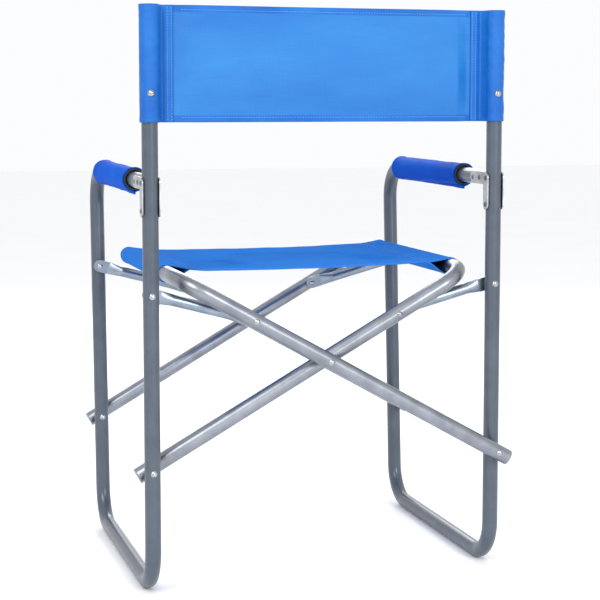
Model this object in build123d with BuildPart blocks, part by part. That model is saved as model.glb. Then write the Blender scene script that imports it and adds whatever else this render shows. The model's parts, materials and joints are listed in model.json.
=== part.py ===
"""Folding director's chair: two bent-tube side frames, crossed U-shaped seat tubes, fabric seat and back.

Millimetres. +Z is up and the chair faces -Y, so the sitter's left side is +X.
The origin is on the floor under the middle of the chair.
"""

import os
from math import asin, atan2, cos, hypot, sin

from build123d import *

# Tube stock
tube_radius = 11.0
tube_wall = 1.2
bore_radius = tube_radius - tube_wall
washer_thickness = 1.2
running_gap = 0.3
layer = 2 * tube_radius + washer_thickness + running_gap  # from one tube's axis to its neighbour's

# Side frames
frame_gauge = 502.0  # between the axes of the two rear posts
rear_post_y = 223.9
post_top = 793.0
leg_distance = 430.5  # rear post axis to front leg axis, at the height of the lower pivots
leg_lean = 0.066  # how far the front legs lean forward for each unit of height
floor_bend_radius = 55.0
leg_top = 505.0  # the seam between front leg and arm hoop
arm_height = 565.5
arm_end = -12.5  # from the post axis
hoop_bend_radius = 50.0
swage_length = 45.0
plug_head = 2.0
plug_rounding = 1.2
post_plug_length = 14.0
tail_plug_length = 10.0

# Crossed seat tubes
lower_pivot_height = 173.0
cross_height = 314.7
rail_reach = 242.3  # cross pivot to seat rail axis, short enough to pass the arm pads as it folds
tail_length = 17.0  # tube past its lower pivot
rail_bend_radius = 45.0

# Links between posts and seat tubes
post_link_height = 414.0
link_reach = 122.5  # cross pivot to link rivet
link_radius = 8.0
link_wall = 1.0
paddle_width = 19.0
paddle_thickness = 2.6
paddle_length = 14.0
tongue_length = paddle_length + 2.0  # the flat stretch, with a little inside the flare
flare_length = 20.0

# Fasteners
rivet_radius = 2.5
running_hole_radius = rivet_radius + 0.06
head_radius = 4.5
head_height = 2.2
head_sink = 0.9  # how far a head's rim reaches down round its tube
bracket_head_radius = 4.0
bracket_head_height = 1.8
washer_radius = 7.0
screw_radius = 2.0
screw_head_radius = 5.0
screw_head_height = 3.0
screw_length = 10.0

# Arm brackets: rivet places forward of the post axis and above the arm axis
bracket_thickness = 1.6
bracket_width = 16.5
arm_rivets = [(-49.0, 0.0), (-24.0, 0.0)]
post_rivets = [(0.0, 0.0), (0.0, -37.5)]

# Fabric and foam
foam_radius = 16.4
sleeve_cloth = 0.8
arm_pad_rear = -115.0  # from the post axis
arm_pad_front = -402.0
fin_depth = 7.0
fin_thickness = 2.4
back_bottom = 646.0
back_top = 802.0
back_screw_height = 685.0
back_loop_radius = 13.6
back_cloth = 1.4
back_flap = 32.0  # post axis to the inner edge of the sewn flap
back_panel_offset = 9.8  # the panel hangs this far in front of the post axis
seat_cloth = 0.9
seat_slack = 0.3
seat_loop_radius = tube_radius + seat_slack + seat_cloth
seat_rear_margin = 62.0  # rail corner to the edge of the fabric
seat_front_margin = 56.0
seat_sag = 3.0
seat_rise = 3.0  # rail axis to the edge of the middle panel

half_gauge = frame_gauge / 2
cross_angle = atan2(cross_height - lower_pivot_height, half_gauge)
rail_x = rail_reach * cos(cross_angle)
rail_height = cross_height + rail_reach * sin(cross_angle)
link_rivet_x = link_reach * cos(cross_angle)
link_rivet_height = cross_height + link_reach * sin(cross_angle)
half_layer = layer / 2

sides = {"left": 1, "right": -1}
ends = {"rear": -1, "front": 1}  # the sign is the way each end's links lie from their tubes, along Y


def axis_y(side, end, height):
    """Y of the tube axes in one side's layer, along its rear posts or its front legs."""
    y = rear_post_y + side * half_layer
    if end == "rear":
        return y
    return y - leg_distance - leg_lean * (height - lower_pivot_height)


def keep(builder, name):
    """Names one finished piece and writes it."""
    builder.part.label = name
    export_step(builder.part, f"parts/{name}.step")


def sweep_tube(points, radii):
    """A tube of the frame stock along straight runs joined by bends."""
    with BuildLine() as path:
        FilletPolyline(*points, radius=radii)
    with BuildSketch(Plane(origin=path.line @ 0, z_dir=path.line % 0)) as ring:
        Circle(tube_radius)
        Circle(bore_radius, mode=Mode.SUBTRACT)
    sweep(ring.sketch, path=path.line)


def bar_along_y(x, z, y_from, y_to, radius, mode=Mode.ADD):
    """A round bar parallel to Y."""
    with BuildSketch(Plane(origin=(x, min(y_from, y_to), z), z_dir=(0, 1, 0))) as end_face:
        Circle(radius)
    extrude(end_face.sketch, amount=abs(y_to - y_from), mode=mode)


def cross_hole(x, y, z, radius):
    """A hole parallel to Y through one tube."""
    bar_along_y(x, z, y - 1.5 * tube_radius, y + 1.5 * tube_radius, radius, mode=Mode.SUBTRACT)


def washer(x, z, y_from, y_to, hole_radius):
    """A flat ring round an axis parallel to Y."""
    with BuildSketch(Plane(origin=(x, min(y_from, y_to), z), z_dir=(0, 1, 0))) as ring:
        Circle(washer_radius)
        Circle(hole_radius, mode=Mode.SUBTRACT)
    extrude(ring.sketch, amount=abs(y_to - y_from))


def dome(place, out, radius, height, sink=0.0):
    """A domed fastener head. Its flat side is at place, its crown points out, and sink deepens it."""
    direction = Vector(*out)
    across = Vector(0, 0, 1) if abs(direction.Z) < 0.5 else Vector(1, 0, 0)
    ball_radius = (radius**2 + height**2) / (2 * height)
    half_turn = asin(min(1.0, radius / ball_radius)) / 2
    middle = (ball_radius * sin(half_turn), height - ball_radius + ball_radius * cos(half_turn))
    with BuildSketch(Plane(origin=place, x_dir=across, z_dir=across.cross(direction))) as profile:
        with BuildLine():
            ThreePointArc((0, height), middle, (radius, 0))
            if sink:
                Polyline((radius, 0), (radius, -sink), (0, -sink), (0, height))
            else:
                Polyline((radius, 0), (0, 0), (0, height))
        make_face()
    revolve(profile.sketch, axis=Axis(place, direction))


def seat_on_tube(point, direction):
    """Cuts a head's underside to the round of the tube that it sits on."""
    with Locations(Plane(origin=point, z_dir=direction).location):
        Cylinder(tube_radius, 4 * washer_radius, mode=Mode.SUBTRACT)


def tube_direction(side, end, rising):
    """The run of a leg: straight up a side frame, or along a seat tube whose rail is on that side."""
    lean = 0 if end == "rear" else -leg_lean
    if rising == "post":
        return (0, lean, 1)
    return (side * cos(cross_angle), lean * sin(cross_angle), sin(cross_angle))


def pivot_rivets(x, z, owner, fixed_run):
    """Rivets, rear and front, through two tubes one layer apart, their heads on the owner's tubes."""
    for end in ends:
        near = axis_y(owner, end, z)
        far = axis_y(-owner, end, z)
        tube_face = near + owner * tube_radius
        dome((x, tube_face, z), (0, owner, 0), head_radius, head_height, sink=head_sink)
        seat_on_tube((x, near, z), tube_direction(owner, end, fixed_run))
        far_face = far - owner * (tube_radius + running_gap)
        dome((x, far_face, z), (0, -owner, 0), head_radius, head_height)
        bar_along_y(x, z, tube_face, far_face, rivet_radius)


def pivot_washers(x, z, owner, fixed_run):
    """Washers between two tubes one layer apart, against the owner's tubes."""
    for end in ends:
        tube = axis_y(owner, end, z)
        face = tube - owner * tube_radius
        washer(x, z, face, face - owner * washer_thickness, rivet_radius)
        seat_on_tube((x, tube, z), tube_direction(owner, end, fixed_run))


def link_face(side, end):
    """Y of the flat side of a link, one running gap clear of the washer on the seat tube."""
    tube = axis_y(side, end, link_rivet_height)
    return tube + ends[end] * (tube_radius + washer_thickness + running_gap)


os.makedirs("parts", exist_ok=True)

for name, side in sides.items():
    post_x = side * half_gauge
    post_y = axis_y(side, "rear", 0)
    leg_foot = axis_y(side, "front", tube_radius)
    leg_seam = axis_y(side, "front", leg_top)
    lower_rivet = (post_x, lower_pivot_height)
    link_rivet = (post_x, post_link_height)
    screw_top = post_y + back_loop_radius + back_cloth / 2

    # Side frame: rear post, floor runner and front leg in one bent tube
    with BuildPart() as frame_tube:
        sweep_tube(
            [
                (post_x, post_y, post_top),
                (post_x, post_y, tube_radius),
                (post_x, leg_foot, tube_radius),
                (post_x, leg_seam, leg_top),
            ],
            floor_bend_radius,
        )
        for end in ends:
            for x, z in (lower_rivet, link_rivet):
                cross_hole(x, axis_y(side, end, z), z, rivet_radius)
        for forward, above in post_rivets:
            with Locations(Location((post_x, post_y + forward, arm_height + above), (0, 90, 0))):
                Cylinder(rivet_radius, 3 * tube_radius, mode=Mode.SUBTRACT)
        bar_along_y(post_x, back_screw_height, post_y, screw_top, screw_radius, mode=Mode.SUBTRACT)
    keep(frame_tube, f"{name}_frame_tube")

    # Plug in the open top of the rear post
    with BuildPart() as post_plug:
        with BuildSketch(Plane.XY.offset(post_top)):
            with Locations((post_x, post_y)):
                Circle(tube_radius)
        extrude(amount=plug_head)
        fillet(post_plug.edges().group_by(Axis.Z)[-1], plug_rounding)
        with BuildSketch(Plane.XY.offset(post_top)):
            with Locations((post_x, post_y)):
                Circle(bore_radius)
        extrude(amount=-post_plug_length)
    keep(post_plug, f"{name}_post_plug")

    # Arm tube: its swaged end sits in the front leg, then the hoop turns back to the rear post
    with BuildPart() as arm_tube:
        arm_front = axis_y(side, "front", arm_height)
        sweep_tube(
            [
                (post_x, leg_seam, leg_top),
                (post_x, arm_front, arm_height),
                (post_x, post_y + arm_end, arm_height),
            ],
            hoop_bend_radius,
        )
        with BuildSketch(Plane(origin=(post_x, leg_seam, leg_top), z_dir=(0, leg_lean, -1))):
            Circle(bore_radius)
            Circle(bore_radius - tube_wall, mode=Mode.SUBTRACT)
        extrude(amount=swage_length)
        with BuildSketch(Plane(origin=(post_x, leg_seam, leg_top), z_dir=(0, -leg_lean, 1))):
            Circle(tube_radius)
            Circle(bore_radius - tube_wall, mode=Mode.SUBTRACT)
        extrude(amount=tube_wall)
        for forward, above in arm_rivets:
            with Locations(Location((post_x, post_y + forward, arm_height + above), (0, 90, 0))):
                Cylinder(rivet_radius, 3 * tube_radius, mode=Mode.SUBTRACT)
    keep(arm_tube, f"{name}_arm_tube")

    # L-shaped plates on both faces of the joint between arm and rear post
    for face_name, face in {"inner": -side, "outer": side}.items():
        face_x = post_x + face * tube_radius
        plate_plane = Plane(origin=(face_x, post_y, arm_height), x_dir=(0, 1, 0), z_dir=(1, 0, 0))
        with BuildPart() as bracket:
            with BuildSketch(plate_plane):
                with Locations((arm_rivets[0][0] / 2, 0)):
                    SlotCenterToCenter(-arm_rivets[0][0], bracket_width)
                with Locations((0, post_rivets[1][1] / 2)):
                    SlotCenterToCenter(-post_rivets[1][1], bracket_width, rotation=90)
                with Locations(*arm_rivets, *post_rivets):
                    Circle(rivet_radius, mode=Mode.SUBTRACT)
            extrude(amount=face * bracket_thickness)
        keep(bracket, f"{name}_bracket_{face_name}")

    # Rivets through both plates and the tube between them
    with BuildPart() as bracket_rivets:
        plate_face = tube_radius + bracket_thickness
        for forward, above in arm_rivets + post_rivets:
            place = Vector(post_x, post_y + forward, arm_height + above)
            for out in (-1, 1):
                crown = place + Vector(out * plate_face, 0, 0)
                dome(crown, (out, 0, 0), bracket_head_radius, bracket_head_height)
            with Locations(Location(place, (0, 90, 0))):
                Cylinder(rivet_radius, 2 * plate_face)
    keep(bracket_rivets, f"{name}_bracket_rivets")

    # Foam pad round the arm, and the cloth sleeve over it with its seam hanging below
    with BuildPart() as arm_foam:
        with BuildSketch(Plane(origin=(post_x, post_y + arm_pad_rear, arm_height), z_dir=(0, -1, 0))):
            Circle(foam_radius)
            Circle(tube_radius, mode=Mode.SUBTRACT)
        extrude(amount=arm_pad_rear - arm_pad_front)
    keep(arm_foam, f"{name}_arm_foam")

    with BuildPart() as arm_sleeve:
        with BuildSketch(Plane(origin=(post_x, post_y + arm_pad_rear, arm_height), z_dir=(0, -1, 0))):
            Circle(foam_radius + sleeve_cloth)
        extrude(amount=arm_pad_rear - arm_pad_front)
        fin_origin = (post_x - fin_thickness / 2, post_y, arm_height)
        with BuildSketch(Plane(origin=fin_origin, x_dir=(0, 1, 0), z_dir=(1, 0, 0))):
            with BuildLine():
                Polyline(
                    (arm_pad_rear, 0),
                    (arm_pad_rear, -foam_radius - fin_depth),
                    (arm_pad_front, -foam_radius - sleeve_cloth),
                    (arm_pad_front, 0),
                    close=True,
                )
            make_face()
        extrude(amount=fin_thickness)
        with BuildSketch(Plane(origin=(post_x, post_y + arm_pad_rear, arm_height), z_dir=(0, -1, 0))):
            Circle(foam_radius)
        extrude(amount=arm_pad_rear - arm_pad_front, mode=Mode.SUBTRACT)
    keep(arm_sleeve, f"{name}_arm_sleeve")

    # End of the backrest: a loop of cloth round the post, closed by a sewn flap towards the middle
    with BuildPart() as back_sleeve:
        with BuildSketch(Plane.XY.offset(back_bottom)):
            with Locations((post_x, post_y)):
                Circle(back_loop_radius)
            with Locations((post_x - side * back_flap / 2, post_y - back_panel_offset)):
                Rectangle(back_flap, 2 * back_cloth)
            with Locations((post_x, post_y)):
                Circle(back_loop_radius - back_cloth, mode=Mode.SUBTRACT)
        extrude(amount=back_top - back_bottom)
        bar_along_y(post_x, back_screw_height, post_y, screw_top, screw_radius, mode=Mode.SUBTRACT)
    keep(back_sleeve, f"{name}_back_sleeve")

    # Screw that holds the loop to the post
    with BuildPart() as back_screw:
        dome(
            (post_x, post_y + back_loop_radius - head_sink / 2, back_screw_height),
            (0, 1, 0),
            screw_head_radius,
            screw_head_height,
        )
        with Locations((post_x, post_y, back_screw_height)):
            Cylinder(back_loop_radius, 4 * screw_head_radius, mode=Mode.SUBTRACT)
        bar_along_y(post_x, back_screw_height, screw_top - screw_length, screw_top, screw_radius)
    keep(back_screw, f"{name}_back_screw")

    # Pivots between this frame and the seat tube that crosses to it
    with BuildPart() as lower_rivets:
        pivot_rivets(*lower_rivet, side, "post")
    keep(lower_rivets, f"{name}_lower_rivets")

    with BuildPart() as lower_washers:
        pivot_washers(*lower_rivet, side, "post")
    keep(lower_washers, f"{name}_lower_washers")

    # Rivets and spacers that carry the links on the post and the front leg
    with BuildPart() as link_post_rivets:
        for end, away in ends.items():
            tube = axis_y(side, end, post_link_height)
            dome(
                (post_x, tube - away * tube_radius, post_link_height),
                (0, -away, 0),
                head_radius,
                head_height,
                sink=head_sink,
            )
            seat_on_tube((post_x, tube, post_link_height), tube_direction(side, end, "post"))
            paddle_face = link_face(side, end) + away * (paddle_thickness + running_gap)
            dome((post_x, paddle_face, post_link_height), (0, away, 0), head_radius, head_height)
            bar_along_y(*link_rivet, tube - away * tube_radius, paddle_face, rivet_radius)
    keep(link_post_rivets, f"{name}_link_post_rivets")

    with BuildPart() as link_post_spacers:
        for end, away in ends.items():
            tube = axis_y(side, end, post_link_height)
            outer_face = link_face(side, end) - away * running_gap
            washer(*link_rivet, tube + away * tube_radius, outer_face, rivet_radius)
            seat_on_tube((post_x, tube, post_link_height), tube_direction(side, end, "post"))
    keep(link_post_spacers, f"{name}_link_post_spacers")

    # Links: round tube with flattened ends, flush on the side that faces the frame
    link_end = (side * link_rivet_x, link_rivet_height)
    link_length = hypot(link_end[0] - post_x, link_end[1] - post_link_height)
    for end, away in ends.items():
        flat = Plane(
            origin=(post_x, link_face(side, end), post_link_height),
            x_dir=(link_end[0] - post_x, 0, link_end[1] - post_link_height),
            z_dir=(0, away, 0),
        )
        with BuildPart() as link:
            with BuildSketch(flat):
                for centre, tongue in ((0, 1), (link_length, -1)):
                    with Locations((centre, 0)):
                        Circle(paddle_width / 2)
                    with Locations((centre + tongue * tongue_length / 2, 0)):
                        Rectangle(tongue_length, paddle_width)
            extrude(amount=paddle_thickness)
            for start, tongue in ((0, 1), (link_length, -1)):
                flat_end = start + tongue * paddle_length
                tube_end = flat_end + tongue * flare_length
                thin_end = flat.location * Location((flat_end, 0, paddle_thickness / 2))
                round_end = flat.location * Location((tube_end, 0, link_radius))
                with BuildSketch(Plane(thin_end * Location((0, 0, 0), (0, 90, 0)))):
                    Ellipse(paddle_thickness / 2, paddle_width / 2)
                with BuildSketch(Plane(round_end * Location((0, 0, 0), (0, 90, 0)))):
                    Circle(link_radius)
                loft()
            inset = paddle_length + flare_length
            straight = link_length - 2 * inset
            tube_start = flat.location * Location((inset, 0, link_radius), (0, 90, 0))
            with BuildSketch(Plane(tube_start)):
                Circle(link_radius)
            extrude(amount=straight)
            with BuildSketch(Plane(tube_start)):
                Circle(link_radius - link_wall)
            extrude(amount=straight, mode=Mode.SUBTRACT)
            cross_hole(post_x, link_face(side, end), post_link_height, running_hole_radius)
            cross_hole(link_end[0], link_face(side, end), link_end[1], rivet_radius)
        keep(link, f"{end}_{name}_link")

        # Inner half of the rivet between link and seat tube
        with BuildPart() as link_head:
            outside = link_face(side, end) + away * paddle_thickness
            dome((link_end[0], outside, link_end[1]), (0, away, 0), head_radius, head_height)
            bar_along_y(*link_end, link_face(side, end), outside, rivet_radius)
        keep(link_head, f"{end}_{name}_link_head")

    # Seat tube: a U whose rail lies on this side and whose legs reach the other side's frame
    tail_x = -side * (half_gauge + tail_length * cos(cross_angle))
    tail_height = lower_pivot_height - tail_length * sin(cross_angle)
    far_pivot = (-side * half_gauge, lower_pivot_height)
    tail_rear = Vector(tail_x, axis_y(side, "rear", tail_height), tail_height)
    tail_front = Vector(tail_x, axis_y(side, "front", tail_height), tail_height)
    rail_rear = Vector(side * rail_x, axis_y(side, "rear", rail_height), rail_height)
    rail_front = Vector(side * rail_x, axis_y(side, "front", rail_height), rail_height)
    with BuildPart() as seat_tube:
        sweep_tube([tail_rear, rail_rear, rail_front, tail_front], rail_bend_radius)
        cross_fit = rivet_radius if name == "left" else running_hole_radius
        for end in ends:
            cross_hole(far_pivot[0], axis_y(side, end, far_pivot[1]), far_pivot[1], running_hole_radius)
            cross_hole(0, axis_y(side, end, cross_height), cross_height, cross_fit)
            cross_hole(link_end[0], axis_y(side, end, link_end[1]), link_end[1], rivet_radius)
    keep(seat_tube, f"{name}_seat_tube")

    with BuildPart() as seat_tube_plugs:
        for tail, rail in ((tail_rear, rail_rear), (tail_front, rail_front)):
            down = (tail - rail).normalized()
            with BuildSketch(Plane(origin=tail, z_dir=down)):
                Circle(tube_radius)
            extrude(amount=plug_head)
            with BuildSketch(Plane(origin=tail, z_dir=down)):
                Circle(bore_radius)
            extrude(amount=-tail_plug_length)
    keep(seat_tube_plugs, f"{name}_seat_tube_plugs")

    # Outer half of the rivet between link and seat tube, and the washer under the link
    with BuildPart() as link_tube_rivets:
        for end, away in ends.items():
            tube = axis_y(side, end, link_end[1])
            dome(
                (link_end[0], tube - away * tube_radius, link_end[1]),
                (0, -away, 0),
                head_radius,
                head_height,
                sink=head_sink,
            )
            seat_on_tube((link_end[0], tube, link_end[1]), tube_direction(side, end, "seat"))
            inner_face = tube + away * (tube_radius + washer_thickness)
            bar_along_y(*link_end, tube - away * tube_radius, inner_face, rivet_radius)
    keep(link_tube_rivets, f"{name}_link_tube_rivets")

    with BuildPart() as link_tube_washers:
        for end, away in ends.items():
            tube = axis_y(side, end, link_end[1])
            inner_face = tube + away * (tube_radius + washer_thickness)
            washer(*link_end, tube + away * tube_radius, inner_face, rivet_radius)
            seat_on_tube((link_end[0], tube, link_end[1]), tube_direction(side, end, "seat"))
    keep(link_tube_washers, f"{name}_link_tube_washers")

    # Hem of the seat: a loop of cloth round this side's rail
    seat_rear = axis_y(side, "rear", 0) - seat_rear_margin
    seat_front = axis_y(side, "front", rail_height) + seat_front_margin
    with BuildPart() as seat_sleeve:
        with BuildSketch(Plane(origin=(side * rail_x, seat_rear, rail_height), z_dir=(0, -1, 0))):
            Circle(seat_loop_radius)
            Circle(seat_loop_radius - seat_cloth, mode=Mode.SUBTRACT)
        extrude(amount=seat_rear - seat_front)
    keep(seat_sleeve, f"{name}_seat_sleeve")

# Rivets and washers at the two crossings, fixed in the left seat tube
with BuildPart() as cross_rivets:
    pivot_rivets(0, cross_height, 1, "seat")
keep(cross_rivets, "cross_rivets")

with BuildPart() as cross_washers:
    pivot_washers(0, cross_height, 1, "seat")
keep(cross_washers, "cross_washers")

# Seat: one sheet that sags a little between the rails
panel_x = rail_x - seat_loop_radius - running_gap
panel_z = rail_height + seat_rise
panel_rear = axis_y(-1, "rear", 0) - seat_rear_margin
panel_front = axis_y(1, "front", rail_height) + seat_front_margin
with BuildPart() as seat_panel:
    with BuildSketch(Plane(origin=(0, panel_rear, panel_z), x_dir=(1, 0, 0), z_dir=(0, -1, 0))):
        with BuildLine():
            ThreePointArc((-panel_x, 0), (0, -seat_sag), (panel_x, 0))
            Line((panel_x, 0), (panel_x, seat_cloth))
            ThreePointArc((panel_x, seat_cloth), (0, seat_cloth - seat_sag), (-panel_x, seat_cloth))
            Line((-panel_x, seat_cloth), (-panel_x, 0))
        make_face()
    extrude(amount=panel_rear - panel_front)
keep(seat_panel, "seat_panel")

# Backrest: one sheet between the sewn flaps, slanting with the offset between the two frames
back_x = half_gauge - back_flap - running_gap
with BuildPart() as back_panel:
    with BuildSketch(Plane.XY.offset(back_bottom)):
        with BuildLine():
            slope_y = half_layer * back_x / half_gauge
            back_y = rear_post_y - back_panel_offset
            Polyline(
                (-back_x, back_y - slope_y - back_cloth / 2),
                (back_x, back_y + slope_y - back_cloth / 2),
                (back_x, back_y + slope_y + back_cloth / 2),
                (-back_x, back_y - slope_y + back_cloth / 2),
                close=True,
            )
        make_face()
    extrude(amount=back_top - back_bottom)
keep(back_panel, "back_panel")
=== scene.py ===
"""Looks of the folding director's chair: fabric, foam, stitching, materials, light and camera. Metres."""
import json
from math import atan2, cos, hypot, pi, radians, sin

import bpy
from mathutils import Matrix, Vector, noise


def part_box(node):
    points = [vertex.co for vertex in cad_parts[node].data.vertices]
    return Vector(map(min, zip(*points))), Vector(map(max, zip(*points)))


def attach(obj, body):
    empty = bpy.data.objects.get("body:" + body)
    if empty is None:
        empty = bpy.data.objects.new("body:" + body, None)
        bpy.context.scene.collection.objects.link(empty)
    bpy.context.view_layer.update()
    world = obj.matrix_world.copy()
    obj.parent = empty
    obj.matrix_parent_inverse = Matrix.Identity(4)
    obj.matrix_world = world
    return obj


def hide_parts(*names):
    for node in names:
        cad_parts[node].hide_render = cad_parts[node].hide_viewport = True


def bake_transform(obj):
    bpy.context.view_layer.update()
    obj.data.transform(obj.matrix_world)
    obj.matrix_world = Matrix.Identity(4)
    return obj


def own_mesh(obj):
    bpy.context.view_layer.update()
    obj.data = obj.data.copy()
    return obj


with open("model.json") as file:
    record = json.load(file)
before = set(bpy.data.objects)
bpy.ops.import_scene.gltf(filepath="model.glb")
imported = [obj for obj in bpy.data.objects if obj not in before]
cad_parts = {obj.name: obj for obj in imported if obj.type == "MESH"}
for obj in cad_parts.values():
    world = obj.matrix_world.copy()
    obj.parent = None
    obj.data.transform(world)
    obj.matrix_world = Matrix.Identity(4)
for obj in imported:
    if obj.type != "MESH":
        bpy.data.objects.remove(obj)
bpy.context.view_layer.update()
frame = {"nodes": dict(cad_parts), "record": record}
nodes = frame["nodes"]

SIDES = {"left": 1, "right": -1}
TUBE_RADIUS = 0.011
CLOTH = 0.0009  # thickness of one layer
HEM = 0.009  # width of a hem
HEM_EXTRA = 0.0012  # how much thicker the cloth is in a hem


# ---------------------------------------------------------------- mesh helpers

CURVE_STEPS = 12  # fine points for each given point of a smooth chain
LATHE_SEGMENTS = 48

STITCH_PITCH = 0.0040
STITCH_LENGTH = 0.0028
THREAD_RADIUS = 0.00045
THREAD_SIDES = 6
# The rings of one stitch: place in its length, then width and height over the cloth in thread radii.
STITCH_RINGS = ((-0.5, 0.25, -0.3), (-0.25, 1, 0.5), (0.25, 1, 0.5), (0.5, 0.25, -0.3))


def new_object(name, vertices, faces, uvs=None, smooth=True):
    """A mesh object from vertices and faces. uvs, if given, holds one pair per vertex, in metres."""
    mesh = bpy.data.meshes.new(name)
    mesh.from_pydata([tuple(v) for v in vertices], [], faces)
    if uvs:
        layer = mesh.uv_layers.new(name="cut")
        for loop in mesh.loops:
            layer.data[loop.index].uv = uvs[loop.vertex_index]
    for polygon in mesh.polygons:
        polygon.use_smooth = smooth
    mesh.update()
    obj = bpy.data.objects.new(name, mesh)
    bpy.context.scene.collection.objects.link(obj)
    return obj


def lengths_along(points):
    """Distance run along a chain of points, at each of them."""
    total = [0.0]
    for a, b in zip(points, points[1:]):
        total.append(total[-1] + (b - a).length)
    return total


def grid_normals(grid):
    """One unit normal for each point of a grid."""
    rows, columns = len(grid), len(grid[0])
    normals = []
    for i in range(rows):
        line = []
        for j in range(columns):
            along = grid[min(i + 1, rows - 1)][j] - grid[max(i - 1, 0)][j]
            across = grid[i][min(j + 1, columns - 1)] - grid[i][max(j - 1, 0)]
            line.append(along.cross(across).normalized())
        normals.append(line)
    return normals


def cloth_shell(name, grid, thickness):
    """A closed sheet of cloth from a grid of midpoints. thickness(i, j) is how thick it is at each.

    The faces come row by row, two for each cell of the grid, and those of the rim come last.
    """
    rows, columns = len(grid), len(grid[0])
    normals = grid_normals(grid)
    run = lengths_along(grid[rows // 2])
    rise = lengths_along([line[columns // 2] for line in grid])
    vertices, uvs, faces = [], [], []
    for face_sign in (0.5, -0.5):
        for i in range(rows):
            for j in range(columns):
                vertices.append(grid[i][j] + normals[i][j] * thickness(i, j) * face_sign)
                uvs.append((run[j], rise[i]))
    under = rows * columns
    for i in range(rows - 1):
        for j in range(columns - 1):
            a, b = i * columns + j, (i + 1) * columns + j
            faces.append((a, b, b + 1, a + 1))
            faces.append((a + under, a + 1 + under, b + 1 + under, b + under))
    rim = list(range(columns))
    rim += [i * columns + columns - 1 for i in range(1, rows)]
    rim += [(rows - 1) * columns + j for j in range(columns - 2, -1, -1)]
    rim += [i * columns for i in range(rows - 2, 0, -1)]
    for a, b in zip(rim, rim[1:] + rim[:1]):
        faces.append((a, b, b + under, a + under))
    obj = new_object(name, vertices, faces, uvs)
    obj["flat_size"] = (run[-1], rise[-1])
    return obj


def hemmed(plain, extra, rows, hem_rows, hem_columns=None):
    """A thickness for cloth_shell: plain, and extra more in the first and last hem_rows."""

    def thickness(i, j):
        in_hem = min(i, rows - 1 - i) < hem_rows and (hem_columns is None or j in hem_columns)
        return plain + (extra if in_hem else 0.0)

    return thickness


def hem_seams(rows, hem_rows):
    """The two rows of a grid along which its hems are sewn."""
    return hem_rows - 2, rows + 1 - hem_rows


def crumple(x, y, z, depth):
    """Smooth noise of the given depth. The callers scale x, y and z to set how fine it is."""
    return noise.noise(Vector((x, y, z))) * depth


def smooth_chain(points, count):
    """count points, evenly spaced, on a smooth curve through the given ones."""
    ends = [points[0] * 2 - points[1]] + list(points) + [points[-1] * 2 - points[-2]]
    fine = []
    for k in range(1, len(ends) - 2):
        a, b, c, d = ends[k - 1 : k + 3]
        for s in range(CURVE_STEPS):
            t = s / CURVE_STEPS
            fine.append(
                0.5
                * (
                    2 * b
                    + (c - a) * t
                    + (2 * a - 5 * b + 4 * c - d) * t**2
                    + (3 * b - a - 3 * c + d) * t**3
                )
            )
    fine.append(points[-1].copy())
    run = lengths_along(fine)
    result = []
    k = 0
    for n in range(count):
        want = run[-1] * n / (count - 1)
        while k < len(run) - 2 and run[k + 1] < want:
            k += 1
        share = (want - run[k]) / max(run[k + 1] - run[k], 1e-9)
        result.append(fine[k].lerp(fine[k + 1], min(max(share, 0.0), 1.0)))
    return result


def lathe(name, centre, profile):
    """A ring turned about the Y axis through centre. profile holds (radius, distance along axis) pairs."""
    vertices, faces = [], []
    for k in range(LATHE_SEGMENTS):
        angle = 2 * pi * k / LATHE_SEGMENTS
        for radius, along in profile:
            vertices.append(centre + Vector((radius * cos(angle), along, radius * sin(angle))))
    count = len(profile)
    for k in range(LATHE_SEGMENTS):
        here, following = k * count, (k + 1) % LATHE_SEGMENTS * count
        for j in range(count):
            up = (j + 1) % count
            faces.append((here + j, here + up, following + up, following + j))
    return new_object(name, vertices, faces)


def stitches(name, rows, out):
    """Threads lying along rows of points. out(point) is the way the cloth faces there."""
    vertices, faces = [], []
    for row in rows:
        run = lengths_along(row)
        k = 0
        for n in range(int(run[-1] / STITCH_PITCH)):
            want = (n + 0.5) * STITCH_PITCH
            while k < len(run) - 2 and run[k + 1] < want:
                k += 1
            span = max(run[k + 1] - run[k], 1e-9)
            middle = row[k].lerp(row[k + 1], (want - run[k]) / span)
            along = (row[k + 1] - row[k]).normalized()
            up = out(middle)
            side = along.cross(up).normalized()
            start = len(vertices)
            for share, width, height in STITCH_RINGS:
                base = middle + along * share * STITCH_LENGTH + up * height * THREAD_RADIUS
                for r in range(THREAD_SIDES):
                    angle = 2 * pi * r / THREAD_SIDES
                    spoke = side * cos(angle) + up * sin(angle)
                    vertices.append(base + spoke * THREAD_RADIUS * width)
            last = start + (len(STITCH_RINGS) - 1) * THREAD_SIDES
            for ring in range(start, last, THREAD_SIDES):
                for r in range(THREAD_SIDES):
                    a, b = ring + r, ring + (r + 1) % THREAD_SIDES
                    faces.append((a, b, b + THREAD_SIDES, a + THREAD_SIDES))
            faces.append(tuple(start + r for r in reversed(range(THREAD_SIDES))))
            faces.append(tuple(last + r for r in range(THREAD_SIDES)))
    return new_object(name, vertices, faces)


# ------------------------------------------------------------------- materials

NOISE_ROUGHNESS = 0.55
COAT_ROUGHNESS = 0.22
WAVE_PERIOD = 0.314  # distance between the bands of a wave texture at scale 1
CROSS_STREAK = 0.6  # strength of the streaks across the cloth, as a share of those along it


def material(name):
    """A new material with its node tree and its shader."""
    made = bpy.data.materials.new(name)
    made.use_nodes = True
    tree = made.node_tree
    shader = tree.nodes["Principled BSDF"]
    return made, tree, shader


def node(tree, kind, **settings):
    """One shader node with its settings."""
    made = tree.nodes.new(kind)
    for key, value in settings.items():
        setattr(made, key, value)
    return made


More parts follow.
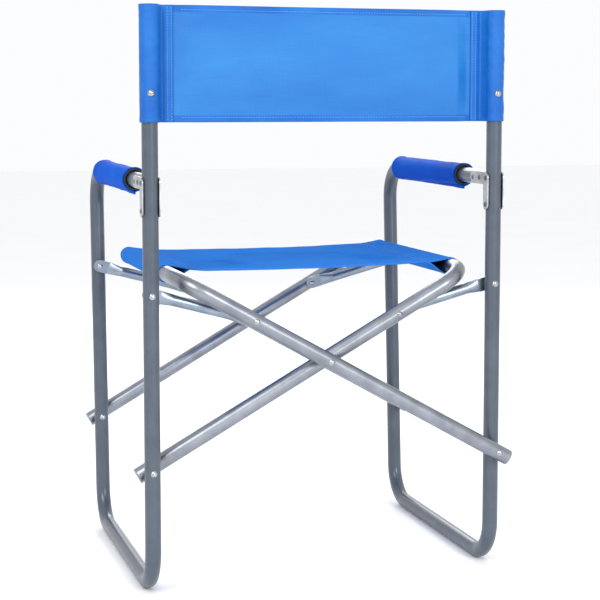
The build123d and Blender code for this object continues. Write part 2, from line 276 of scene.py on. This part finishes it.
def coordinates(tree, source, stretch=(1, 1, 1)):
    """Texture coordinates in metres, stretched."""
    place = node(tree, "ShaderNodeTexCoord")
    mapping = node(tree, "ShaderNodeMapping")
    mapping.inputs["Scale"].default_value = stretch
    tree.links.new(place.outputs[source], mapping.inputs["Vector"])
    return mapping.outputs["Vector"]


def ramp(tree, source, stops):
    """A colour ramp from its two (position, colour) stops."""
    made = node(tree, "ShaderNodeValToRGB")
    for element, (position, colour) in zip(made.color_ramp.elements, stops):
        element.position, element.color = position, (*colour, 1)
    tree.links.new(source, made.inputs["Fac"])
    return made.outputs["Color"]


def value_range(tree, source, low, high):
    """A noise value mapped to a range, for roughness."""
    made = node(tree, "ShaderNodeMapRange")
    made.inputs["To Min"].default_value = low
    made.inputs["To Max"].default_value = high
    tree.links.new(source, made.inputs["Value"])
    return made.outputs["Result"]


def multiply_add(tree, value, factor, added):
    """value times a fixed factor, plus another value."""
    made = node(tree, "ShaderNodeMath", operation="MULTIPLY_ADD")
    made.inputs[1].default_value = factor
    tree.links.new(value, made.inputs[0])
    tree.links.new(added, made.inputs[2])
    return made.outputs[0]


def bump(tree, shader, height, distance, strength=1.0, below=None):
    """Adds a bump to the shader, on top of the one below it."""
    made = node(tree, "ShaderNodeBump")
    made.inputs["Strength"].default_value = strength
    made.inputs["Distance"].default_value = distance
    tree.links.new(height, made.inputs["Height"])
    if below:
        tree.links.new(below, made.inputs["Normal"])
    tree.links.new(made.outputs["Normal"], shader.inputs["Normal"])
    return made.outputs["Normal"]


def noise_value(tree, vector, scale, detail):
    """The value of a noise texture."""
    made = node(tree, "ShaderNodeTexNoise")
    made.inputs["Scale"].default_value = scale
    made.inputs["Detail"].default_value = detail
    made.inputs["Roughness"].default_value = NOISE_ROUGHNESS
    tree.links.new(vector, made.inputs["Vector"])
    return made.outputs["Fac"]


def metal(name, dark, light, rough, grain, grain_depth, metallic=1.0, coat=0.0):
    """A metal or painted metal with cloudy colour, uneven gloss and a fine grain."""
    made, tree, shader = material(name)
    vector = coordinates(tree, "Object")
    cloud = noise_value(tree, vector, 38, 5)
    colour = ramp(tree, cloud, [(0.32, dark), (0.68, light)])
    tree.links.new(colour, shader.inputs["Base Color"])
    smear = noise_value(tree, vector, 120, 3)
    tree.links.new(value_range(tree, smear, *rough), shader.inputs["Roughness"])
    shader.inputs["Metallic"].default_value = metallic
    shader.inputs["Coat Weight"].default_value = coat
    shader.inputs["Coat Roughness"].default_value = COAT_ROUGHNESS
    bump(tree, shader, noise_value(tree, vector, grain, 2), grain_depth)
    return made


def plastic(name, dark, light, rough, grain, grain_depth):
    """A moulded plastic or a thread, with a faint texture."""
    made, tree, shader = material(name)
    vector = coordinates(tree, "Object")
    colour = ramp(tree, noise_value(tree, vector, 90, 3), [(0.3, dark), (0.7, light)])
    tree.links.new(colour, shader.inputs["Base Color"])
    smear = noise_value(tree, vector, 300, 2)
    tree.links.new(value_range(tree, smear, *rough), shader.inputs["Roughness"])
    bump(tree, shader, noise_value(tree, vector, grain, 2), grain_depth)
    return made


def foam_material():
    """Black closed-cell foam: rounded cells with darker walls."""
    made, tree, shader = material("foam")
    cells = node(tree, "ShaderNodeTexVoronoi")
    cells.inputs["Scale"].default_value = 900
    tree.links.new(coordinates(tree, "Object"), cells.inputs["Vector"])
    stops = [(0.0, (0.010, 0.010, 0.012)), (0.8, (0.035, 0.036, 0.04))]
    tree.links.new(ramp(tree, cells.outputs["Distance"], stops), shader.inputs["Base Color"])
    shader.inputs["Roughness"].default_value = 0.85
    bump(tree, shader, cells.outputs["Distance"], 0.0004)
    return made


def cloth_material(
    name, dark, light, thread, streak, gloss, specular, drift=(7, 7, 1), contrast=0.25
):
    """Coated plain weave: crossing threads, colour streaks along the threads and slow tone changes."""
    made, tree, shader = material(name)
    vector = coordinates(tree, "UV")
    slow = noise_value(tree, coordinates(tree, "UV", drift), 1.0, 3)
    streaks = noise_value(tree, coordinates(tree, "UV", (30, 900, 1)), 1.0, 3)
    cross_streaks = noise_value(tree, coordinates(tree, "UV", (900, 30, 1)), 1.0, 3)
    tone = multiply_add(tree, streaks, streak, slow)
    tone = multiply_add(tree, cross_streaks, streak * CROSS_STREAK, tone)
    middle = 0.5 + 0.5 * streak * (1 + CROSS_STREAK)
    stops = [(middle - contrast, dark), (min(middle + contrast, 1.0), light)]
    tree.links.new(ramp(tree, tone, stops), shader.inputs["Base Color"])
    tree.links.new(value_range(tree, slow, *gloss), shader.inputs["Roughness"])
    shader.inputs["Specular IOR Level"].default_value = specular
    crossing = node(tree, "ShaderNodeMath", operation="MAXIMUM")
    for k, direction in enumerate("XY"):
        wave = node(tree, "ShaderNodeTexWave", wave_type="BANDS", bands_direction=direction)
        wave.inputs["Scale"].default_value = WAVE_PERIOD / thread
        wave.inputs["Distortion"].default_value = 0.6
        wave.inputs["Detail Scale"].default_value = 1.5
        tree.links.new(vector, wave.inputs["Vector"])
        tree.links.new(wave.outputs["Fac"], crossing.inputs[k])
    weave = bump(tree, shader, crossing.outputs[0], 0.00010, 0.7)
    bump(tree, shader, noise_value(tree, vector, 90, 3), 0.0005, 0.5, below=weave)
    return made


paint = metal(
    "frame_paint",
    (0.064, 0.080, 0.106),
    (0.082, 0.101, 0.132),
    rough=(0.28, 0.38),
    grain=1400,
    grain_depth=0.00005,
    metallic=0.30,
    coat=0.15,
)
plated = metal(
    "bare_tube",
    (0.225, 0.240, 0.272),
    (0.310, 0.330, 0.370),
    rough=(0.32, 0.42),
    grain=700,
    grain_depth=0.00003,
)
plated_link = metal(
    "link_tube",
    (0.220, 0.265, 0.325),
    (0.310, 0.365, 0.440),
    rough=(0.29, 0.39),
    grain=700,
    grain_depth=0.00003,
)
zinc = metal(
    "bracket_plate",
    (0.30, 0.31, 0.33),
    (0.56, 0.57, 0.59),
    rough=(0.26, 0.44),
    grain=900,
    grain_depth=0.00008,
)
rivet_metal = metal(
    "rivet",
    (0.30, 0.31, 0.33),
    (0.50, 0.51, 0.53),
    rough=(0.16, 0.26),
    grain=900,
    grain_depth=0.00004,
)
# The bracket's rivets are coloured dark all over: painted shade for their hollow centres.
hollow_shade_rivet = metal(
    "bracket_rivet",
    (0.10, 0.10, 0.11),
    (0.30, 0.30, 0.32),
    rough=(0.30, 0.45),
    grain=900,
    grain_depth=0.00008,
)
nylon = plastic(
    "washer",
    (0.05, 0.05, 0.055),
    (0.08, 0.08, 0.085),
    rough=(0.45, 0.6),
    grain=500,
    grain_depth=0.00005,
)
plug_plastic = plastic(
    "tube_plug",
    (0.20, 0.22, 0.24),
    (0.27, 0.29, 0.31),
    rough=(0.45, 0.62),
    grain=700,
    grain_depth=0.00008,
)
foam_black = foam_material()
back_blue = cloth_material(
    "back_cloth",
    (0.003, 0.118, 0.425),
    (0.016, 0.188, 0.505),
    thread=0.00045,
    streak=0.25,
    gloss=(0.34, 0.46),
    specular=0.34,
    drift=(3, 9, 1),
    contrast=0.19,
)
# A darker copy of the back's cloth, as painted shade on the loops round the posts and on the hems.
shaded_back_blue = cloth_material(
    "shaded_back_cloth",
    (0.002, 0.088, 0.385),
    (0.010, 0.142, 0.475),
    thread=0.00045,
    streak=0.25,
    gloss=(0.34, 0.46),
    specular=0.26,
    drift=(9, 9, 1),
    contrast=0.19,
)
seat_blue = cloth_material(
    "seat_cloth",
    (0.012, 0.118, 0.445),
    (0.032, 0.172, 0.560),
    thread=0.00055,
    streak=0.70,
    gloss=(0.60, 0.72),
    specular=0.0,
)
arm_blue = cloth_material(
    "arm_cloth",
    (0.000, 0.066, 0.460),
    (0.003, 0.112, 0.620),
    thread=0.00050,
    streak=0.35,
    gloss=(0.50, 0.62),
    specular=0.015,
    contrast=0.20,
)
thread_blue = plastic(
    "thread",
    (0.050, 0.280, 0.640),
    (0.090, 0.360, 0.760),
    rough=(0.5, 0.7),
    grain=2500,
    grain_depth=0.00008,
)
seat_thread_blue = plastic(
    "seat_thread",
    (0.014, 0.145, 0.520),
    (0.034, 0.190, 0.620),
    rough=(0.5, 0.7),
    grain=2500,
    grain_depth=0.00008,
)

SLOT_MATERIALS = {
    "frame_paint": paint,
    "bare_tube": plated,
    "link_tube": plated_link,
    "bracket_plate": zinc,
    "rivet": rivet_metal,
    "washer": nylon,
    "tube_plug": plug_plastic,
    "foam": foam_black,
    "arm_cloth": arm_blue,
    "seat_cloth": seat_blue,
    "back_cloth": back_blue,
}


def give(obj, made):
    """Sets an object's only material."""
    obj.data.materials.clear()
    obj.data.materials.append(made)
    return obj


for entry in frame["record"]["subparts"]:
    give(nodes[entry["node"]], SLOT_MATERIALS[entry["material_slot"]])
for name in SIDES:
    # Painted shade: the bracket's rivets get the dark rivet colour.
    give(nodes[f"{name}_bracket_rivets"], hollow_shade_rivet)


# ------------------------------------------------------- places from the frame

def middle_of(name):
    """The middle of a node's box."""
    low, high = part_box(name)
    return (low + high) / 2


post = {s: middle_of(f"{s}_post_plug") for s in SIDES}
rail = middle_of("left_seat_sleeve")
rail_ends = [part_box(f"{s}_seat_sleeve") for s in SIDES]
back_low, back_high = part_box("back_panel")


# ------------------------------------------------------------------------ seat

SEAT_ROWS = 110
SEAT_COLUMNS = 260
UNDER_COLUMNS = 20  # at each end of the profile, left out of the seams because they lie under the rail
ACROSS_POINTS = 20  # from the middle of the seat to one side
LOOP_RADIUS = TUBE_RADIUS + 0.0013
LOOP_DEGREES = (112, 80, 45, 10, -30, -70, -105)  # round a rail, from its inner top to underneath
UNDER_POINT = (0.015, 0.0075)  # where the under layer has left the rail, inward and down from its axis
SEAM_REACH = 0.038  # from the rail's axis inward to the end of the under layer
UNDER_DROPS = ((0.006, 0.0028), (0.0, 0.0014))  # short of that end, and how far it lies below the seat
ACROSS_START = 0.008  # how much nearer to the rail the seat's free stretch begins
SEAM_INSETS = (0.003, 0.009)  # from the end of the under layer to the seams
SEAM_END = SEAM_REACH * 0.3  # the hems are sewn up to this far from the rail's axis
SEAT_SAG = 0.0035
RAIL_STEP = 0.0045  # how far the cloth climbs onto a rail
EDGE_CURVE = 0.003  # how far the front and rear edges draw in at the middle
CORNER_PULL = 0.038  # how far forward the left rear corner is drawn
CORNER_REACH = 0.050  # how far from the rail the top layer begins to bend forward
UNDER_REACH = 0.120  # the same for the layer under the rail
SEAT_RIPPLE = 0.0007  # depths of the unevenness: long waves from rail to rail,
SEAT_CREASE = 0.0006  # waves from front to rear,
RAIL_CREASE = 0.0011  # and short creases that start at the rails
FIRM_REACH = 0.01  # none of it closer than this to a rail's axis


def seat_height(x):
    """Height of the seat's cloth between the rails: a shallow sag that climbs onto each rail."""
    share = min(abs(x) / rail.x, 1.0)
    top = rail.z + LOOP_RADIUS
    return top - SEAT_SAG * (1 - share**2) - RAIL_STEP * (1 - share**14)


def seat_profile():
    """The seat's cloth in the plane of X and Z: under one rail, round it, across, and round the other."""
    seam_x = rail.x - SEAM_REACH
    reach = seam_x + ACROSS_START
    steps = range(-ACROSS_POINTS, ACROSS_POINTS + 1)
    across = [Vector((k * reach / ACROSS_POINTS, 0, 0)) for k in steps]
    for point in across:
        point.z = seat_height(point.x)
    half = []
    for degrees in LOOP_DEGREES:
        angle = radians(degrees)
        half.append(Vector((rail.x + LOOP_RADIUS * cos(angle), 0, rail.z + LOOP_RADIUS * sin(angle))))
    half.append(Vector((rail.x - UNDER_POINT[0], 0, rail.z - UNDER_POINT[1])))
    for short, drop in UNDER_DROPS:
        half.append(Vector((seam_x + short, 0, seat_height(seam_x + short) - drop)))
    mirrored = [Vector((-p.x, 0, p.z)) for p in reversed(half)]
    return smooth_chain(mirrored + across + half, SEAT_COLUMNS)


def seat_edge(x, which, reach=CORNER_REACH):
    """Y of the seat's front (0) or rear (1) edge. One rail lies behind the other, so both run aslant."""
    share = min(max(x / rail.x, -1.0), 1.0)
    ends = [box[which].y for box in rail_ends]
    inward = EDGE_CURVE * (1 - share**2) * (1 if which == 0 else -1)
    if which == 1:
        near = min(max((x - rail.x + reach) / reach, 0.0), 1.0)
        inward -= CORNER_PULL * near * near * (3 - 2 * near)
    return (ends[0] + ends[1]) / 2 + share * (ends[0] - ends[1]) / 2 + inward


def make_seat():
    """The seat's cloth, in one piece round both rails, and its stitches."""
    profile = seat_profile()
    grid = []
    for i in range(SEAT_ROWS):
        line = []
        for k, point in enumerate(profile):
            under = k > len(profile) // 2 and point.x < profile[k - 1].x
            front = seat_edge(point.x, 0)
            rear = seat_edge(point.x, 1, UNDER_REACH if under else CORNER_REACH)
            y = front + (rear - front) * i / (SEAT_ROWS - 1)
            free = max(0.0, 1 - (abs(point.x) / (rail.x - FIRM_REACH)) ** 6)
            near_rail = abs(point.x) / rail.x
            lift = crumple(point.x * 9, y * 42, 0.3, SEAT_RIPPLE)
            lift += crumple(point.x * 30, y * 16, 4.1, SEAT_CREASE)
            lift += crumple(abs(point.x) * 14, y * 70, 8.0 + (point.x > 0), RAIL_CREASE) * near_rail**3
            line.append(Vector((point.x, y, point.z + lift * free)))
        grid.append(line)
    hem_rows = round(HEM / ((seat_edge(0, 1) - seat_edge(0, 0)) / (SEAT_ROWS - 1)))
    seat = cloth_shell("seat_cloth", grid, hemmed(CLOTH, HEM_EXTRA, SEAT_ROWS, hem_rows))

    top = []
    for k in range(UNDER_COLUMNS + 1, len(profile) - UNDER_COLUMNS):
        if abs(profile[k].x) < rail.x - SEAM_END:
            top.append(k)
    hem_lift = Vector((0, 0, CLOTH / 2 + HEM_EXTRA / 2))
    lines = [[grid[i][k] + hem_lift for k in top] for i in hem_seams(SEAT_ROWS, hem_rows)]
    for side in SIDES.values():
        for inset in SEAM_INSETS:
            want = side * (rail.x - (SEAM_REACH - inset))
            column = min(top, key=lambda k: abs(profile[k].x - want))
            lines.append([row[column] + Vector((0, 0, CLOTH / 2)) for row in grid[1:-1]])
    return seat, stitches("seat_stitches", lines, lambda p: Vector((0, 0, 1)))


seat_cloth, seat_thread = make_seat()
give(seat_cloth, seat_blue)
give(seat_thread, seat_thread_blue)
for piece in (seat_cloth, seat_thread):
    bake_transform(piece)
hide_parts("seat_panel", "left_seat_sleeve", "right_seat_sleeve")


# -------------------------------------------------------------------- backrest

PANEL_OFFSET = 0.0098  # how far the backrest's plane lies in front of the posts' axes

LOOP_CLOTH = CLOTH * 0.9
LOOP_HEM = HEM_EXTRA * 0.5
LOOP_ROWS = 90
LOOP_COLUMNS = 110
FLAP = 0.034  # from the post's axis to the end of the two sewn flaps
# The outline of a loop as (inward from the post, behind the backrest's plane): the rear flap with the
# sharp valley beside the post, and the front flap.
REAR_FLAP = ((FLAP, 0.0017), (0.025, 0.0017), (0.0192, -0.0002), (0.0162, 0.0022))
FRONT_FLAP = ((0.014, -0.0022), (0.024, -0.0015), (FLAP, -0.0015))
POST_LOOP = TUBE_RADIUS + 0.0019
POST_DEGREES = (-2, 25, 55, 90, 125, 160, 195, 230, 260, 285)  # round the post, from its inner side
REAR_COLUMNS = range(40)  # columns of the loop that hold the rear flap
FRONT_COLUMNS = range(70, LOOP_COLUMNS)
FLAP_SEAMS = (0.0260, FLAP - 0.0025)
POST_CREASE = 0.0009
CREASED_RADIUS = 0.0135  # from the post's axis, full creases up to here
CREASE_FADE = 0.012  # and none this much further out
FRONT_SHARE = 0.35  # strength of the creases on the front, where the rear has 1
SCREW_SHARE = 0.35  # their strength at the height of the screw
SCREW_FADE = 0.03  # and how far from it they grow by 1
SCREW_DIP = 0.0006  # how far the screw draws the cloth in
DIP_REACH = 0.02

PANEL_CLOTH = CLOTH * 0.8
PANEL_ROWS = 100
PANEL_COLUMNS = 200
TUCK = 0.0285  # from the post's axis to the panel's edge, between the flaps
HEMLESS_COLUMNS = 5  # at each side of the panel, where the flaps hold it
PANEL_BOW = 0.0065  # how far its middle height stands out to the rear
PANEL_HOLLOW = 0.002  # how much less that is halfway between the posts
PANEL_WAVE = 0.0030
PANEL_CREASE = 0.0020  # creases that run aslant from each side
PANEL_CREASE_REACH = 0.07
FLAT_EDGE = 0.012  # from the panel's edge, kept flat for the flaps
FLAT_FADE = 0.015  # and how much further until the shape is full


def make_back_sleeve(name, side):
    """A loop of cloth round one post, sewn flat towards the middle, with creases from the screw."""
    centre = post[name]
    outline = [(inward, behind - PANEL_OFFSET) for inward, behind in REAR_FLAP]
    for degrees in POST_DEGREES:
        angle = radians(degrees)
        outline.append((POST_LOOP * cos(angle), POST_LOOP * sin(angle)))
    outline += [(inward, behind - PANEL_OFFSET) for inward, behind in FRONT_FLAP]
    chain = smooth_chain([Vector((-side * u, v, 0)) for u, v in outline], LOOP_COLUMNS)
    screw = middle_of(f"{name}_back_screw")
    low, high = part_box(f"{name}_back_sleeve")
    grid = []
    for i in range(LOOP_ROWS):
        z = low.z + (high.z - low.z) * i / (LOOP_ROWS - 1)
        from_screw = abs(z - screw.z)
        fade = min(1.0, SCREW_SHARE + from_screw / SCREW_FADE)
        line = []
        for point in chain:
            past = hypot(point.x, point.y) - CREASED_RADIUS
            round_post = max(0.0, 1 - max(0.0, past) / CREASE_FADE)
            out = Vector((point.x, point.y, 0)).normalized()
            slant = z - screw.z + side * point.x * 0.9
            crease = crumple(slant * 95, point.x * 20, 2.0 + side, POST_CREASE)
            rear_side = 1.0 if point.y > 0 else FRONT_SHARE
            dip = SCREW_DIP * (1 - min(1.0, from_screw / DIP_REACH)) * (point.y > 0)
            shift = out * (crease * round_post * rear_side * fade - dip * round_post)
            line.append(Vector((centre.x, centre.y, z)) + point + shift)
        grid.append(line)
    hem_rows = round(HEM / ((high.z - low.z) / (LOOP_ROWS - 1)))
    sleeve = cloth_shell(
        f"{name}_back_loop", grid, hemmed(LOOP_CLOTH, LOOP_HEM, LOOP_ROWS, hem_rows)
    )

    lines = []
    for reach in FLAP_SEAMS:
        for columns, lift in ((REAR_COLUMNS, CLOTH / 2), (FRONT_COLUMNS, -CLOTH / 2)):
            column = min(columns, key=lambda k: abs(abs(chain[k].x) - reach))
            lines.append([row[column] + Vector((0, lift, 0)) for row in grid[1:-1]])
    plane_y = centre.y - PANEL_OFFSET
    thread = stitches(
        f"{name}_back_stitches", lines, lambda p: Vector((0, 1 if p.y > plane_y else -1, 0))
    )
    return sleeve, thread


for name, side in SIDES.items():
    loop, thread = make_back_sleeve(name, side)
    # The loops get the darker copy of the back's cloth: painted shade.
    give(loop, shaded_back_blue)
    give(thread, thread_blue)
    for piece in (loop, thread):
        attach(piece, f"{name}_frame")
    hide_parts(f"{name}_back_sleeve")


def make_back_panel():
    """The sheet between the two loops, tucked between their flaps, with hems above and below."""
    left = Vector((post["left"].x - TUCK, post["left"].y - PANEL_OFFSET, 0))
    right = Vector((post["right"].x + TUCK, post["right"].y - PANEL_OFFSET, 0))
    width = (left - right).length
    grid = []
    for i in range(PANEL_ROWS):
        z = back_low.z + (back_high.z - back_low.z) * i / (PANEL_ROWS - 1)
        height = 2 * i / (PANEL_ROWS - 1) - 1
        line = []
        for j in range(PANEL_COLUMNS):
            share = j / (PANEL_COLUMNS - 1)
            edge = min(share, 1 - share) * width
            base = right.lerp(left, share)
            shift = PANEL_BOW * (1 - height**2) - PANEL_HOLLOW * sin(pi * share) ** 2
            shift += crumple(base.x * 6, z * 16, 1.7, PANEL_WAVE)
            slant = (z - 0.70) * 60 + abs(base.x) * 40
            near_edge = max(0.0, 1 - edge / PANEL_CREASE_REACH)
            shift += crumple(slant, base.x * 8, 5.0, PANEL_CREASE) * near_edge
            free = min(1.0, max(0.0, (edge - FLAT_EDGE) / FLAT_FADE))
            line.append(Vector((base.x, base.y + shift * free, z)))
        grid.append(line)
    hem_rows = round(HEM / ((back_high.z - back_low.z) / (PANEL_ROWS - 1)))
    hem_columns = range(HEMLESS_COLUMNS, PANEL_COLUMNS - HEMLESS_COLUMNS)
    panel = cloth_shell(
        "back_cloth", grid, hemmed(PANEL_CLOTH, HEM_EXTRA, PANEL_ROWS, hem_rows, hem_columns)
    )
    give(panel, back_blue)
    # The hem rows get the darker copy of the back's cloth: painted shade.
    panel.data.materials.append(shaded_back_blue)
    for k, polygon in enumerate(panel.data.polygons):
        row = k // (2 * (PANEL_COLUMNS - 1))  # past the last row for the rim's faces
        if min(row, PANEL_ROWS - 2 - row) < hem_rows:
            polygon.material_index = 1

    threads = []
    for label, facing in (("rear", 1), ("front", -1)):
        lift = Vector((0, facing * (PANEL_CLOTH / 2 + HEM_EXTRA / 2), 0))
        lines = []
        for i in hem_seams(PANEL_ROWS, hem_rows):
            lines.append([grid[i][j] + lift for j in hem_columns[1:-1]])
        out = Vector((0, facing, 0))
        threads.append(stitches(f"back_hem_stitches_{label}", lines, lambda p: out))
    return panel, threads


back_cloth, hem_threads = make_back_panel()
for piece in hem_threads:
    give(piece, thread_blue)
for piece in (back_cloth, *hem_threads):
    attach(piece, "left_frame")
    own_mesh(piece)
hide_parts("back_panel")


# ------------------------------------------------------------------------ arms

FOAM_RADIUS = 0.0173
FOAM_BORE = TUBE_RADIUS + 0.0002
FOAM_RIM = 0.0022  # how far the rims of the foam are rounded
FOAM_PROUD = 0.002  # how far the foam reaches out of its sleeve at the rear
REAR_SQUEEZE = 0.0020  # the foam is thinner at the rear, where the cloth is drawn in
FRONT_SHORT = {"left": 0.035, "right": 0.012}  # left off the CAD pad and sleeve at the front

ARM_CLOTH = CLOTH * 0.75
ARM_HEM = HEM_EXTRA * 0.6
ARM_ROWS = 120
ARM_COLUMNS = 88
ARM_HEM_ROWS = 4
CLOTH_OVER_FOAM = 0.0006
WRAP_POINTS = 25
WRAP_START = -97  # degrees, just past the seam below
WRAP_TURN = 346
FIN_FRONT = 0.0012  # depth of the two sewn edges below the sleeve, at the front
FIN_SPARE = 0.0022  # how much less they deepen to the rear than on the CAD sleeve
FIN_HALF = 0.0007  # from the middle of the fin to each edge at its foot
FIN_ROOT_HALF = 0.0008  # and at its root
FIN_ROOT = 0.4  # the root's share of the fin's depth and sway
FIN_WAVE = 0.0008
FIN_SWAY = 0.0016
MOUTH_FLARE = 0.0008
MOUTH_LENGTH = 0.008
ARM_RIDGE = 0.0006
ARM_TWIST = 0.0005


def make_foam(name):
    """A tube of foam with rounded rims, a little longer than its sleeve at the rear."""
    low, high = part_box(f"{name}_arm_foam")
    low.y += FRONT_SHORT[name]
    half = (high.y - low.y) / 2
    front, rear = -half, half + FOAM_PROUD
    rear_radius = FOAM_RADIUS - REAR_SQUEEZE
    profile = [
        (FOAM_BORE, front + FOAM_RIM),
        (FOAM_BORE + FOAM_RIM, front),
        (FOAM_RADIUS - FOAM_RIM, front),
        (FOAM_RADIUS, front + FOAM_RIM),
        (rear_radius, rear - FOAM_RIM),
        (rear_radius - FOAM_RIM * 0.3, rear - FOAM_RIM * 0.3),
        (rear_radius - FOAM_RIM, rear),
        (FOAM_BORE + FOAM_RIM, rear),
        (FOAM_BORE, rear - FOAM_RIM),
    ]
    return lathe(f"{name}_arm_pad", (low + high) / 2, profile)


def make_arm_sleeve(name, side):
    """A sleeve round the foam. Its two edges are sewn together below, and hang deeper towards the rear."""
    low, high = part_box(f"{name}_arm_sleeve")
    low.y += FRONT_SHORT[name]
    centre = middle_of(f"{name}_arm_foam")
    deepest = centre.z - FOAM_RADIUS - low.z
    grid = []
    for i in range(ARM_ROWS):
        share = i / (ARM_ROWS - 1)
        y = low.y + (high.y - low.y) * share
        fin = FIN_FRONT + (deepest - FIN_SPARE) * share**1.5
        fin += crumple(y * 30, side, 0, FIN_WAVE)
        end = min(share, 1 - share) * (high.y - low.y)
        mouth = MOUTH_FLARE * max(0.0, 1 - end / MOUTH_LENGTH)
        sway = crumple(y * 26, 3.0, side, FIN_SWAY) * share
        base = FOAM_RADIUS + CLOTH_OVER_FOAM - REAR_SQUEEZE * share
        foot, root = -base - fin, -base - fin * FIN_ROOT
        outline = [Vector((-FIN_HALF + sway, 0, foot))]
        outline.append(Vector((-FIN_ROOT_HALF + sway * FIN_ROOT, 0, root)))
        for k in range(WRAP_POINTS):
            angle = radians(WRAP_START - WRAP_TURN * k / (WRAP_POINTS - 1))
            ridge = crumple(cos(angle) * 2.2, y * 24, sin(angle) * 2.2 + side * 5, ARM_RIDGE)
            twist = crumple(angle * 1.4 + y * 30, y * 9, side, ARM_TWIST)
            radius = base + mouth + ridge + twist
            outline.append(Vector((radius * cos(angle), 0, radius * sin(angle))))
        outline.append(Vector((FIN_ROOT_HALF + sway * FIN_ROOT, 0, root)))
        outline.append(Vector((FIN_HALF + sway, 0, foot)))
        chain = smooth_chain(outline, ARM_COLUMNS)
        grid.append([Vector((centre.x, y, centre.z)) + point for point in chain])
    sleeve = cloth_shell(
        f"{name}_arm_cover", grid, hemmed(ARM_CLOTH, ARM_HEM, ARM_ROWS, ARM_HEM_ROWS)
    )

    threads = []
    sewn = grid[ARM_ROWS // 3 : ARM_ROWS - 2]
    for label, column, facing in (("a", 2, -1), ("b", ARM_COLUMNS - 3, 1)):
        out = Vector((facing, 0, 0))
        line = [row[column] + out * (CLOTH / 2) for row in sewn]
        threads.append(stitches(f"{name}_arm_stitches_{label}", [line], lambda p: out))
    return sleeve, threads


for name, side in SIDES.items():
    foam = give(make_foam(name), foam_black)
    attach(foam, f"{name}_frame")
    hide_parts(f"{name}_arm_foam")
    cover, threads = make_arm_sleeve(name, side)
    give(cover, arm_blue)
    for thread in threads:
        give(thread, seat_thread_blue)
    for piece in (cover, *threads):
        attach(piece, f"{name}_frame")
    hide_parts(f"{name}_arm_sleeve")


# ----------------------------------------------------------- floor, light, view

FLOOR_REACH = 14.0
FLOOR_DROP = 0.0005  # keeps the floor just clear of the runners
SURROUND = (0.975, 0.980, 0.990, 1)

CAMERA_TURN = radians(15.92)  # towards the sitter's left, from straight behind
CAMERA_TIP = radians(5.5)  # downwards
CAMERA_X = 0.670
CAMERA_BEHIND_POSTS = 2.1975
CAMERA_Z = 0.673
CAMERA_LENS = 100.3  # millimetres, on a 36 mm sensor
CAMERA_SHIFT = -0.0615


def make_stage():
    """A wide pale floor."""
    corners = []
    for x, y in ((-1, -1), (1, -1), (1, 1), (-1, 1)):
        corners.append(Vector((x * FLOOR_REACH, y * FLOOR_REACH, -FLOOR_DROP)))
    floor = new_object("floor", corners, [(0, 1, 2, 3)], smooth=False)
    made, tree, shader = material("floor")
    tone = noise_value(tree, coordinates(tree, "Object"), 3, 3)
    colour = ramp(tree, tone, [(0.3, (0.940, 0.942, 0.947)), (0.7, (0.960, 0.961, 0.965))])
    tree.links.new(colour, shader.inputs["Base Color"])
    shader.inputs["Roughness"].default_value = 0.7
    give(floor, made)


def area_light(name, place, aim, size, power):
    """A white soft box that faces a point."""
    light = bpy.data.lights.new(name, "AREA")
    light.shape = "RECTANGLE"
    light.size, light.size_y = size
    light.energy = power
    obj = bpy.data.objects.new(name, light)
    obj.location = place
    obj.rotation_euler = (Vector(aim) - Vector(place)).to_track_quat("-Z", "Y").to_euler()
    bpy.context.scene.collection.objects.link(obj)


def make_light():
    """A bright, even surround with two soft boxes behind the chair, left and right, and one in front."""
    world = bpy.data.worlds.new("studio")
    bpy.context.scene.world = world
    world.use_nodes = True
    background = world.node_tree.nodes["Background"]
    background.inputs["Color"].default_value = SURROUND
    background.inputs["Strength"].default_value = 1.0
    middle = (0, 0, 0.4)
    area_light("key", (1.9, 2.3, 2.4), middle, (0.9, 1.6), 55)
    area_light("sheen", (-0.95, 3.2, 1.5), (0, 0.2, 0.7), (1.1, 0.8), 40)
    area_light("front", (-0.6, -2.6, 1.8), middle, (1.4, 1.4), 30)


def make_camera():
    """Behind the chair, a little to the sitter's left, looking slightly down."""
    camera = bpy.data.cameras.new("camera")
    camera.sensor_width = 36
    camera.lens = CAMERA_LENS
    camera.shift_y = CAMERA_SHIFT
    obj = bpy.data.objects.new("camera", camera)
    obj.location = (CAMERA_X, post["left"].y + CAMERA_BEHIND_POSTS, CAMERA_Z)
    level = cos(CAMERA_TIP)
    ahead = Vector((-sin(CAMERA_TURN) * level, -cos(CAMERA_TURN) * level, -sin(CAMERA_TIP)))
    obj.rotation_euler = ahead.to_track_quat("-Z", "Y").to_euler()
    bpy.context.scene.collection.objects.link(obj)
    bpy.context.scene.camera = obj


make_stage()
make_light()
make_camera()
# Standard keeps the cloth's blue, which Blender's default view transform washes out.
bpy.context.scene.view_settings.view_transform = "Standard"

bpy.context.view_layer.update()
